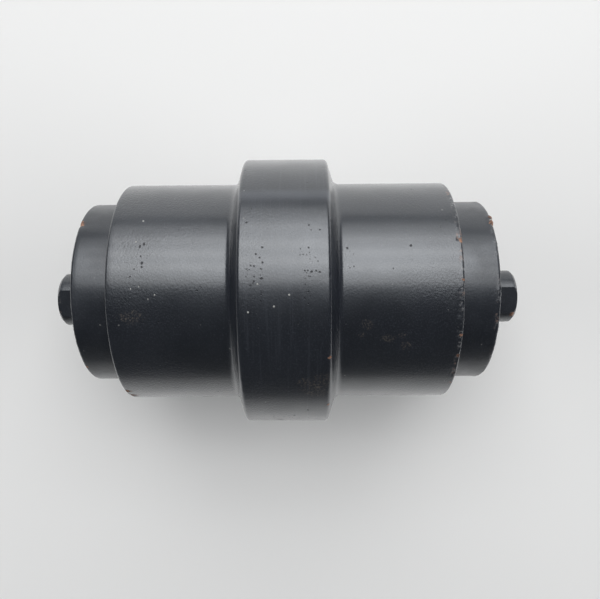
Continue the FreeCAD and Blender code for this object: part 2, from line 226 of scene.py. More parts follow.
def group(name, kind, sockets_in, sockets_out):
    """An empty node group with named sockets: (name, socket type, default) in, (name, type) out."""
    tree = bpy.data.node_groups.new(name, kind)
    for label, socket_type, default in sockets_in:
        socket = tree.interface.new_socket(label, in_out="INPUT", socket_type=socket_type)
        if default is not None:
            socket.default_value = default
    for label, socket_type in sockets_out:
        tree.interface.new_socket(label, in_out="OUTPUT", socket_type=socket_type)
    return tree, tree.nodes.new("NodeGroupInput"), tree.nodes.new("NodeGroupOutput")


# ================================================================================================
# Outlines and turned pieces
# ================================================================================================
def outline(corners, spacing, arc_steps=7):
    """Closed run of points (radius, y, wear, painted) through corners (radius, y, rounding, wear, painted).

    Rounded corners become arcs of arc_steps points. Painted runs are divided to spacing, and the
    runs beside a worn corner more finely.
    """
    count = len(corners)
    turns = []
    for i, (radius, y, rounding, wear, painted) in enumerate(corners):
        here = Vector((radius, y))
        if rounding == 0.0:
            turns.append([(here, wear, painted)])
            continue
        before = (Vector(corners[i - 1][:2]) - here).normalized()
        after = (Vector(corners[(i + 1) % count][:2]) - here).normalized()
        half = before.angle(after) / 2
        reach = rounding / math.tan(half)
        centre = here + (before + after).normalized() * rounding / math.sin(half)
        start = here + before * reach - centre
        sweep = start.angle_signed(here + after * reach - centre)
        arc = []
        for step in range(arc_steps + 1):
            turn = Matrix.Rotation(-sweep * step / arc_steps, 2)
            arc.append((centre + turn @ start, wear, painted))
        turns.append(arc)
    points = []
    for i, arc in enumerate(turns):
        points += arc
        end, following = arc[-1], turns[(i + 1) % count][0]
        points += run_points(end, following, spacing)
    points.append(points[0])
    return [(p.x, p.y, wear, painted) for p, wear, painted in points]


def run_points(end, following, spacing):
    """Points (place, wear, painted) between two ends of a straight run, with wear fading from each."""
    run = following[0] - end[0]
    length = run.length
    painted = min(end[2], following[2])
    pieces = max(1, round(length / (spacing if painted else spacing * COARSER_INSIDE)))
    stops = [length * k / pieces for k in range(1, pieces)]
    fine = [WORN_BAND * k / WORN_BAND_STEPS for k in range(1, WORN_BAND_STEPS + 1)]
    if painted and length > 2 * WORN_BAND + spacing:
        if end[1] > FINE_WEAR:
            stops = fine + [stop for stop in stops if stop > WORN_BAND + spacing / 2]
        if following[1] > FINE_WEAR:
            stops = [stop for stop in stops if stop < length - WORN_BAND - spacing / 2]
            stops += [length - stop for stop in reversed(fine)]
    points = []
    for stop in stops:
        from_end, from_following = stop / WORN_BAND, (length - stop) / WORN_BAND
        wear = max(0.0, end[1] * (1.0 - from_end), following[1] * (1.0 - from_following))
        points.append((end[0] + run * (stop / length), wear, painted))
    return points


def outline_object(name, points):
    """The outline as a chain of vertices with its wear and paint stored on them."""
    mesh = bpy.data.meshes.new(name)
    mesh.from_pydata([(radius, y, 0.0) for radius, y, wear, painted in points], [], [])
    for index, label in ((2, "wear"), (3, "painted")):
        layer = mesh.attributes.new(label, "FLOAT", "POINT")
        layer.data.foreach_set("value", [float(point[index]) for point in points])
    chain = bpy.data.objects.new(name, mesh)
    bpy.context.scene.collection.objects.link(chain)
    return chain


def turned_piece_tree():
    """Geometry Nodes: turns an outline about Y, then gives the painted skin its unevenness and chips."""
    tree, entry, leave = group("turned piece", "GeometryNodeTree", [
        ("Outline", "NodeSocketObject", None), ("Steps Round", "NodeSocketInt", 64),
        ("Unevenness", "NodeSocketFloat", 0.0), ("Chip Depth", "NodeSocketFloat", 0.0),
        ("Seed", "NodeSocketFloat", 0.0), ("Material", "NodeSocketMaterial", None),
    ], [("Geometry", "NodeSocketGeometry")])
    chain = add(tree, "GeometryNodeObjectInfo", {"Object": entry.outputs["Outline"]}).outputs["Geometry"]
    count = add(tree, "GeometryNodeAttributeDomainSize", {"Geometry": chain}).outputs["Point Count"]
    steps = entry.outputs["Steps Round"]
    rows = maths(tree, "ADD", steps, 1.0)
    sheet = add(tree, "GeometryNodeMeshGrid", {"Vertices X": count, "Vertices Y": rows})
    index = add(tree, "GeometryNodeInputIndex").outputs[0]
    column = maths(tree, "FLOOR", maths(tree, "DIVIDE", index, rows))
    row = maths(tree, "MODULO", index, rows)
    angle = maths(tree, "MULTIPLY", maths(tree, "DIVIDE", row, steps), math.tau)

    def sampled(value, data_type):
        inputs = {"Geometry": chain, "Value": value, "Index": column}
        return add(tree, "GeometryNodeSampleIndex", inputs, data_type=data_type).outputs[0]

    place = add(tree, "GeometryNodeInputPosition").outputs[0]
    along = add(tree, "ShaderNodeSeparateXYZ", {0: sampled(place, "FLOAT_VECTOR")})
    around = add(tree, "ShaderNodeCombineXYZ", {
        0: maths(tree, "MULTIPLY", along.outputs[0], maths(tree, "SINE", angle)),
        1: along.outputs[1],
        2: maths(tree, "MULTIPLY", along.outputs[0], maths(tree, "COSINE", angle)),
    }).outputs[0]
    shape = sheet.outputs["Mesh"]
    for label in ("wear", "painted"):
        named = add(tree, "GeometryNodeInputNamedAttribute", {"Name": label}, data_type="FLOAT")
        shape = add(tree, "GeometryNodeStoreNamedAttribute", {
            "Geometry": shape, "Name": label, "Value": sampled(named.outputs[0], "FLOAT"),
        }, data_type="FLOAT", domain="POINT").outputs[0]
    shape = add(tree, "GeometryNodeSetPosition", {"Geometry": shape, "Position": around}).outputs[0]
    shape = add(tree, "GeometryNodeMergeByDistance", {"Geometry": shape, "Distance": 1e-6}).outputs[0]
    offset = worn_offset(tree, entry)
    shape = add(tree, "GeometryNodeSetPosition", {"Geometry": shape, "Offset": offset}).outputs[0]
    shape = add(tree, "GeometryNodeSetShadeSmooth", {"Geometry": shape}).outputs[0]
    shape = add(tree, "GeometryNodeRealizeInstances", {"Geometry": shape}).outputs[0]
    last = add(tree, "GeometryNodeSetMaterial", {"Geometry": shape, "Material": entry.outputs["Material"]})
    tree.links.new(last.outputs[0], leave.inputs[0])
    return tree


def worn_offset(tree, entry):
    """Offset along the normal: gentle unevenness on the paint, and chips bitten from worn edges."""
    place = add(tree, "GeometryNodeInputPosition").outputs[0]
    normal = add(tree, "GeometryNodeInputNormal").outputs[0]
    shifted = vector_maths(tree, "ADD", place, add(tree, "ShaderNodeCombineXYZ", {
        0: entry.outputs["Seed"], 1: entry.outputs["Seed"]}).outputs[0])
    wear = add(tree, "GeometryNodeInputNamedAttribute", {"Name": "wear"}, data_type="FLOAT").outputs[0]
    paint = add(tree, "GeometryNodeInputNamedAttribute", {"Name": "painted"}, data_type="FLOAT").outputs[0]
    wave = maths(tree, "SUBTRACT", noise(tree, shifted, 45.0, 1.0), 0.5)
    wave = maths(tree, "MULTIPLY", maths(tree, "MULTIPLY", wave, entry.outputs["Unevenness"]), paint)
    where = ramped(tree, noise(tree, shifted, 140.0, 1.0), 0.48, 0.66)
    bite = ramped(tree, noise(tree, shifted, 620.0, 1.0), 0.46, 0.66)
    chip = maths(tree, "MULTIPLY", maths(tree, "MULTIPLY", where, bite), wear)
    chip = maths(tree, "MULTIPLY", chip, entry.outputs["Chip Depth"])
    return scaled(tree, normal, maths(tree, "SUBTRACT", wave, chip))


def with_nodes(name, start, tree, inputs):
    """A new piece: the evaluated result of a Geometry Nodes tree on a start mesh, as a plain mesh."""
    maker = bpy.data.objects.new(name + "_maker", start or bpy.data.meshes.new(name))
    bpy.context.scene.collection.objects.link(maker)
    modifier = maker.modifiers.new("shape", "NODES")
    modifier.node_group = tree
    sockets = {s.name: s.identifier for s in tree.interface.items_tree if s.in_out == "INPUT"}
    for label, value in inputs.items():
        modifier[sockets[label]] = value
    depsgraph = bpy.context.evaluated_depsgraph_get()
    mesh = bpy.data.meshes.new_from_object(maker.evaluated_get(depsgraph), depsgraph=depsgraph)
    maker.modifiers.remove(modifier)
    bpy.data.objects.remove(maker)
    mesh.name = name
    if mesh.materials[0] is None:
        mesh.materials.pop(index=0)
    piece = bpy.data.objects.new(name, mesh)
    bpy.context.scene.collection.objects.link(piece)
    return piece


# ================================================================================================
# The roller shell and the end collars
# ================================================================================================
def shell_half(rim_wear):
    """Outline of the shell's +Y half, from the flange outwards and back along the bore."""
    outside = [
        (FLANGE_R, FLANGE_HALF, CROWN_ROUND, CROWN_WEAR, 1), (TREAD_R, FLANK_FOOT, ROOT_FILLET, 0.0, 1),
        (TREAD_R, SHELL_HALF, SHELL_EDGE, rim_wear, 1), (RECESS_R, SHELL_HALF, RECESS_EDGE, 0.0, 1),
    ]
    bore = [(RECESS_R, RECESS_FLOOR)] + HOUSING + [
        (WASHER_SEAT_R, HOUSING[-1][1]), (WASHER_SEAT_R, WASHER_SEAT), (BUSH_SEAT_R, WASHER_SEAT),
        (BUSH_SEAT_R, BUSH_SEAT), (RESERVOIR_R, RESERVOIR_HALF),
    ]
    return outside + [(radius, y, 0.0, 0.0, 0) for radius, y in bore]


def make_shell(tree, material):
    left = [(r, -y, rounding, wear, paint) for r, y, rounding, wear, paint in shell_half(RIM_WEAR["left"])]
    corners = left + shell_half(RIM_WEAR["right"])[::-1]
    chain = outline_object("shell_outline", outline(corners, SHELL_SPACING))
    shell = with_nodes("shell_skin", None, tree, {
        "Outline": chain, "Steps Round": SHELL_STEPS, "Unevenness": SHELL_UNEVENNESS,
        "Chip Depth": SHELL_CHIP_DEPTH, "Seed": 3.0, "Material": material,
    })
    bpy.data.objects.remove(chain)
    press_marks(shell, DENTS["shell"])
    return shell


def collar_corners(rim_wear):
    """Outline of the right end collar."""
    return [
        (COLLAR_R, COLLAR_OUT, COLLAR_ROUND, rim_wear, 1), (COLLAR_R, COLLAR_IN, COLLAR_INNER_ROUND, 0.0, 1),
        (LIP_R, COLLAR_IN, 0.0, 0.0, 1), (LIP_R, LIP_END, 0.0, 0.0, 0),
        (LIP_BORE_R, LIP_END, 0.0, 0.0, 0), (LIP_BORE_R, COLLAR_IN, 0.0, 0.0, 0),
        *[(radius, y, 0.0, 0.0, 0) for radius, y in COLLAR_HOUSING],
        (HUB_R, COLLAR_HOUSING[-1][1], HUB_CHAMFER, 0.0, 0), (HUB_R, HUB_END, HUB_FACE_CHAMFER, 0.0, 0),
        (JOURNAL_R, HUB_END, HUB_CHAMFER, 0.0, 0), (JOURNAL_R, COLLAR_OUT, HUB_CHAMFER, 0.0, 1),
    ]


def make_collar(side, tree, material):
    sign = SIDES[side]
    half = collar_corners(COLLAR_WEAR[side])
    corners = [(r, sign * y, rounding, wear, paint) for r, y, rounding, wear, paint in half]
    corners = corners if sign < 0 else corners[::-1]
    chain = outline_object(side + "_collar_outline", outline(corners, COLLAR_SPACING, arc_steps=6))
    collar = with_nodes(side + "_collar_skin", None, tree, {
        "Outline": chain, "Steps Round": COLLAR_STEPS, "Unevenness": COLLAR_UNEVENNESS,
        "Chip Depth": COLLAR_CHIP_DEPTH, "Seed": 11.0 + sign, "Material": material,
    })
    bpy.data.objects.remove(chain)
    press_marks(collar, DENTS[side + "_collar"])
    cut_pin_hole(collar, sign * PIN_PLACE)
    return collar


def skin_point(radius, y, degrees):
    """A point on a turned skin: degrees round from the side that faces the camera, towards its top."""
    turn = math.radians(degrees) + VIEW_LEAN
    return Vector((-radius * math.sin(turn), y, radius * math.cos(turn)))


def press_marks(piece, dents):
    """Pushes the skin in at each dent (radius, y, degrees, reach, depth), or out where depth is negative."""
    mesh = piece.data
    for radius, y, degrees, reach, depth in dents:
        centre = skin_point(radius * MM, y * MM, degrees)
        outward = Vector((centre.x, 0.0, centre.z)).normalized()
        outward = (outward + ALONG * math.copysign(0.5, y)).normalized()
        for vertex in mesh.vertices:
            gap = (vertex.co - centre).length / (reach * MM)
            if gap < 1.0:
                fall = (1.0 - gap * gap) ** 2
                vertex.co -= outward * depth * MM * fall


def cut_pin_hole(piece, place):
    """Drills the lock pin's hole into a piece, from below."""
    bpy.ops.mesh.primitive_cylinder_add(vertices=48, radius=PIN_R, depth=COLLAR_R,
                                        location=(0.0, place, -JOURNAL_R / 2 - COLLAR_R / 2))
    drill = bpy.context.object
    drill.data.materials.append(piece.data.materials[0])
    cut = piece.modifiers.new("pin hole", "BOOLEAN")
    cut.operation = "DIFFERENCE"
    cut.object = drill
    depsgraph = bpy.context.evaluated_depsgraph_get()
    mesh = bpy.data.meshes.new_from_object(piece.evaluated_get(depsgraph), depsgraph=depsgraph)
    piece.modifiers.remove(cut)
    piece.data = mesh
    bpy.data.objects.remove(drill)


# ================================================================================================
# The shaft
# ================================================================================================
def round_ring(radius, y, offset=0.0):
    """Ring of points about an axis along Y, shifted to x = offset."""
    ring = []
    for j in range(SHAFT_STEPS):
        angle = stub_angle(j, STUB_R)
        ring.append((offset + radius * math.cos(angle), y, radius * math.sin(angle)))
    return ring


def stub_angle(step, radius):
    """Angle of one ring step, spaced so that some steps lie on the creases beside the flats."""
    crease = math.asin(min(1.0, FLAT_HALF / radius))
    quarter = SHAFT_STEPS // 4
    round_steps = quarter * 2 // 3
    flat_steps = quarter - round_steps
    turn, k = divmod(step, quarter)
    mirror = turn % 2 == 1
    k = quarter - k if mirror else k
    if k <= round_steps:
        angle = crease * k / round_steps
    else:
        angle = crease + (math.pi / 2 - crease) * (k - round_steps) / flat_steps
    if mirror:
        angle = math.pi - angle
    return angle + math.pi * (turn // 2)


def stub_ring(radius, y):
    """Ring round a stub: a circle cut by the two flats."""
    ring = []
    for j in range(SHAFT_STEPS):
        angle = stub_angle(j, radius)
        reach = radius
        if abs(math.sin(angle)) * radius > FLAT_HALF:
            reach = FLAT_HALF / abs(math.sin(angle))
        ring.append((STUB_OFFSET + reach * math.cos(angle), y, reach * math.sin(angle)))
    return ring


def thread_rings(sign, mouth, end):
    """Rings down the wall of a mounting thread, from its mouth to its end."""
    length = mouth - end
    count = round(length / THREAD_PITCH * THREAD_RINGS)
    rings = []
    for i in range(count + 1):
        y = mouth - length * i / count
        fade = min(1.0, i / THREAD_RINGS, (count - i) / THREAD_RINGS)
        ring = []
        for j in range(SHAFT_STEPS):
            angle = stub_angle(j, STUB_R)
            phase = (y / THREAD_PITCH - sign * angle / math.tau) % 1.0
            crest = min(1.0, max(0.0, 1.6 * abs(2.0 * phase - 1.0) - 0.3))
            radius = THREAD_R - THREAD_DEPTH * fade * crest
            ring.append((STUB_OFFSET + radius * math.cos(angle), sign * y, radius * math.sin(angle)))
        rings.append(ring)
    return rings


def end_rings(side):
    """Rings of one shaft end, from the journal's shoulder out to the tip and down the threaded hole."""
    sign = SIDES[side]
    rings = [round_ring(JOURNAL_R, sign * (COLLAR_OUT - 0.5 * MM)),
             round_ring(JOURNAL_R - 0.5 * MM, sign * COLLAR_OUT)]
    for lift, widen in ((0.0, 0.6 * MM), (0.18 * MM, 0.18 * MM), (0.6 * MM, 0.0)):
        rings.append(stub_ring(STUB_R + widen, sign * (COLLAR_OUT + lift)))
    straight = SHAFT_HALF - STUB_CHAMFER - COLLAR_OUT
    for k in range(1, 12):
        rings.append(stub_ring(STUB_R, sign * (COLLAR_OUT + 0.6 * MM + (straight - 0.9 * MM) * k / 11)))
    for back, inward in ((0.0, 0.03), (0.2, 0.22), (0.6, 0.6), (0.9, 0.9), (1.0, 1.15)):
        y = SHAFT_HALF - STUB_CHAMFER * (1.0 - back)
        rings.append(stub_ring(STUB_R - STUB_CHAMFER * inward, sign * y))
    rings.append(round_ring(THREAD_R + THREAD_MOUTH + 1.5 * MM, sign * SHAFT_HALF, STUB_OFFSET))
    rings.append(round_ring(THREAD_R + THREAD_MOUTH, sign * SHAFT_HALF, STUB_OFFSET))
    rings += thread_rings(sign, SHAFT_HALF - THREAD_MOUTH, THREAD_END)
    return rings


def make_shaft(material):
    """One closed skin: left hole, left end, journals, right end, right hole."""
    left = end_rings("left")
    right = end_rings("right")
    left.append(round_ring(DRILL_TIP_R, -DRILL_TIP, STUB_OFFSET))
    right.append(round_ring(PLUG_SEAT_R, PLUG_SEAT_TOP, STUB_OFFSET))
    right.append(round_ring(PLUG_SEAT_R, PLUG_SEAT_END, STUB_OFFSET))
    right.append(round_ring(DRILL_TIP_R, PLUG_SEAT_END, STUB_OFFSET))
    middle = []
    for radius, y in JOURNAL_STATIONS:
        middle.append(round_ring(radius, -y))
    for radius, y in reversed(JOURNAL_STATIONS):
        middle.append(round_ring(radius, y))
    rings = left[::-1] + middle + right
    points = [point for ring in rings for point in ring]
    faces = []
    for i in range(len(rings) - 1):
        for j in range(SHAFT_STEPS):
            k = (j + 1) % SHAFT_STEPS
            a, b = i * SHAFT_STEPS, (i + 1) * SHAFT_STEPS
            faces.append((a + j, b + j, b + k, a + k))
    faces.append(tuple(range(SHAFT_STEPS)))
    last = (len(rings) - 1) * SHAFT_STEPS
    faces.append(tuple(last + j for j in reversed(range(SHAFT_STEPS))))
    mesh = bpy.data.meshes.new("shaft_skin")
    mesh.from_pydata(points, [], faces)
    mesh.validate()
    mesh.materials.append(material)
    painted = mesh.attributes.new("painted", "FLOAT", "POINT")
    wear = mesh.attributes.new("wear", "FLOAT", "POINT")
    for index, vertex in enumerate(mesh.vertices):
        outside = abs(vertex.co.y) > COLLAR_OUT - 0.6 * MM
        from_axis = math.hypot(vertex.co.x - STUB_OFFSET, vertex.co.z)
        painted.data[index].value = 1.0 if outside and from_axis > THREAD_R + 0.5 * MM else 0.0
        wear.data[index].value = 0.5 if abs(vertex.co.y) > SHAFT_HALF - STUB_CHAMFER - 0.1 * MM else 0.0
    shaft = bpy.data.objects.new("shaft_skin", mesh)
    bpy.context.scene.collection.objects.link(shaft)
    mesh.shade_smooth()
    mesh.set_sharp_from_angle(angle=math.radians(SHARP_CREASE))
    return shaft


# ================================================================================================
# Shared surface effects
# ================================================================================================
def peel_group():
    """Height in metres of the fine skin that sprayed paint dries with, deeper in some places."""
    tree, entry, leave = group("orange peel", "ShaderNodeTree", [
        ("Place", "NodeSocketVector", None), ("Grain", "NodeSocketFloat", 700.0),
        ("Depth", "NodeSocketFloat", 2e-5),
    ], [("Height", "NodeSocketFloat")])
    skin = noise(tree, entry.outputs["Place"], entry.outputs["Grain"], 2.0, 0.55)
    patch = ramped(tree, noise(tree, entry.outputs["Place"], 22.0, 1.0), 0.35, 0.65, 0.45, 1.25)
    height = maths(tree, "MULTIPLY", maths(tree, "SUBTRACT", skin, 0.5), entry.outputs["Depth"])
    tree.links.new(maths(tree, "MULTIPLY", height, patch), leave.inputs["Height"])
    return tree


def spot_group():
    """Mask of one ragged oval mark; Slimness above 1 narrows it along the roller."""
    tree, entry, leave = group("ragged spot", "ShaderNodeTree", [
        ("Place", "NodeSocketVector", None), ("Centre", "NodeSocketVector", None),
        ("Reach", "NodeSocketFloat", 0.002), ("Slimness", "NodeSocketFloat", 1.0),
    ], [("Mask", "NodeSocketFloat")])
    offset = vector_maths(tree, "SUBTRACT", entry.outputs["Place"], entry.outputs["Centre"])
    shape = add(tree, "ShaderNodeCombineXYZ", {0: 1.0, 1: entry.outputs["Slimness"], 2: 1.0}).outputs[0]
    offset = vector_maths(tree, "MULTIPLY", offset, shape)
    far = add(tree, "ShaderNodeVectorMath", {0: offset}, operation="LENGTH").outputs["Value"]
    far = maths(tree, "DIVIDE", far, entry.outputs["Reach"])
    ragged = maths(tree, "SUBTRACT", noise(tree, entry.outputs["Place"], 900.0, 2.0, 0.6), 0.5)
    far = maths(tree, "ADD", far, maths(tree, "MULTIPLY", ragged, 1.2))
    tree.links.new(ramped(tree, far, 0.65, 1.0, 1.0, 0.0), leave.inputs["Mask"])
    return tree


def pit_group():
    """Small casting pits: Where is how much of the skin has them, from 0 to 1."""
    tree, entry, leave = group("pits", "ShaderNodeTree", [
        ("Place", "NodeSocketVector", None), ("Spacing", "NodeSocketFloat", 0.002),
        ("Where", "NodeSocketFloat", 0.1),
    ], [("Mask", "NodeSocketFloat")])
    cells = add(tree, "ShaderNodeTexVoronoi", {
        "Vector": entry.outputs["Place"], "Scale": maths(tree, "DIVIDE", 1.0, entry.outputs["Spacing"]),
    })
    chance = add(tree, "ShaderNodeSeparateColor", {0: cells.outputs["Color"]})
    chosen = maths(tree, "LESS_THAN", chance.outputs[0], entry.outputs["Where"])
    size = maths(tree, "MULTIPLY_ADD", chance.outputs[1], 0.20, 0.10)
    ragged = maths(tree, "SUBTRACT", noise(tree, entry.outputs["Place"], 1800.0, 1.0), 0.5)
    far = maths(tree, "MULTIPLY_ADD", ragged, 0.5, cells.outputs["Distance"])
    hollow = ramped(tree, maths(tree, "DIVIDE", far, size), 0.5, 1.15, 1.0, 0.0)
    tree.links.new(maths(tree, "MULTIPLY", hollow, chosen), leave.inputs["Mask"])
    return tree


def ring_group():
    """Fine lines that run round the roller, as tool marks or rubbing leave them, from 0 to 1."""
    tree, entry, leave = group("lines round", "ShaderNodeTree", [
        ("Place", "NodeSocketVector", None), ("Fineness", "NodeSocketFloat", 900.0),
        ("Length", "NodeSocketFloat", 25.0),
    ], [("Lines", "NodeSocketFloat")])
    shape = add(tree, "ShaderNodeCombineXYZ", {
        0: entry.outputs["Length"], 1: entry.outputs["Fineness"], 2: entry.outputs["Length"]}).outputs[0]
    stretched = vector_maths(tree, "MULTIPLY", entry.outputs["Place"], shape)
    tree.links.new(noise(tree, stretched, 1.0, 3.0, 0.6), leave.inputs["Lines"])
    return tree


def edge_wear_group():
    """Where a worn edge shows bare metal and where it has rusted."""
    tree, entry, leave = group("edge wear", "ShaderNodeTree", [
        ("Place", "NodeSocketVector", None), ("Wear", "NodeSocketFloat", 0.0),
    ], [("Bare", "NodeSocketFloat"), ("Rust", "NodeSocketFloat")])
    coarse = noise(tree, entry.outputs["Place"], 210.0, 3.0, 0.6)
    fine = noise(tree, entry.outputs["Place"], 900.0, 2.0, 0.6)
    torn = maths(tree, "MULTIPLY", ramped(tree, coarse, 0.50, 0.60), ramped(tree, fine, 0.40, 0.58))
    worn = ramped(tree, entry.outputs["Wear"], 0.25, 0.9)
    bare = maths(tree, "MULTIPLY", torn, worn)
    patches = ramped(tree, noise(tree, entry.outputs["Place"], 95.0, 2.0), 0.52, 0.62)
    tree.links.new(bare, leave.inputs["Bare"])
    tree.links.new(maths(tree, "MULTIPLY", bare, patches), leave.inputs["Rust"])
    return tree


def shared_effects():
    return {"peel": peel_group(), "spot": spot_group(), "pits": pit_group(), "rings": ring_group(),
            "edge": edge_wear_group()}


# ================================================================================================
# Materials
# ================================================================================================
def new_material(name):
    material = bpy.data.materials.new(name)
    material.use_nodes = True
    material.node_tree.nodes.clear()
    tree = material.node_tree
    shader = add(tree, "ShaderNodeBsdfPrincipled")
    out = add(tree, "ShaderNodeOutputMaterial")
    tree.links.new(shader.outputs[0], out.inputs[0])
    place = add(tree, "ShaderNodeTexCoord").outputs["Object"]
    return material, tree, shader, place


def placed(tree, group_tree, inputs):
    """Outputs of a shared effect placed in a material."""
    new = tree.nodes.new("ShaderNodeGroup")
    new.node_tree = group_tree
    for name, value in inputs.items():
        if isinstance(value, bpy.types.NodeSocket):
            tree.links.new(value, new.inputs[name])
        else:
            new.inputs[name].default_value = value
    return new.outputs


def mixed(tree, factor, a, b):
    """Colour b over colour a by the factor."""
    return add(tree, "ShaderNodeMix", {0: factor, 6: a, 7: b}, data_type="RGBA").outputs[2]


def blended(tree, factor, a, b):
    """Number b in place of number a by the factor."""
    return add(tree, "ShaderNodeMix", {0: factor, 2: a, 3: b}, data_type="FLOAT").outputs[0]


def spots(tree, effects, place, marks):
    """Mask of several placed marks (radius mm, y mm, degrees, reach mm, slimness)."""
    mask = 0.0
    for radius, y, degrees, reach, slimness in marks:
        centre = skin_point(radius * MM, y * MM, degrees)
        one = placed(tree, effects["spot"], {
            "Place": place, "Centre": centre, "Reach": reach * MM, "Slimness": slimness})["Mask"]
        mask = maths(tree, "MAXIMUM", mask, one)
    return mask


def tint(tree, place, scale, dark, light):
    """A colour that drifts slowly between two shades."""
    return mixed(tree, ramped(tree, noise(tree, place, scale, 3.0), 0.35, 0.65), dark, light)


def painted_highlight_band(tree, place, radius, degrees, width):
    """Mask of a painted highlight: a pale stripe along the roller, on the skin at one radius."""
    centre = skin_point(radius * MM, 0.0, degrees)
    across = vector_maths(tree, "MULTIPLY", vector_maths(tree, "SUBTRACT", place, centre), (1.0, 0.0, 1.0))
    far = add(tree, "ShaderNodeVectorMath", {0: across}, operation="LENGTH").outputs["Value"]
    stripe = ramped(tree, far, 0.15 * width * MM, width * MM, 1.0, 0.0)
    return maths(tree, "MULTIPLY", stripe, ramped(tree, noise(tree, place, 60.0, 2.0), 0.2, 0.7, 0.5, 1.0))


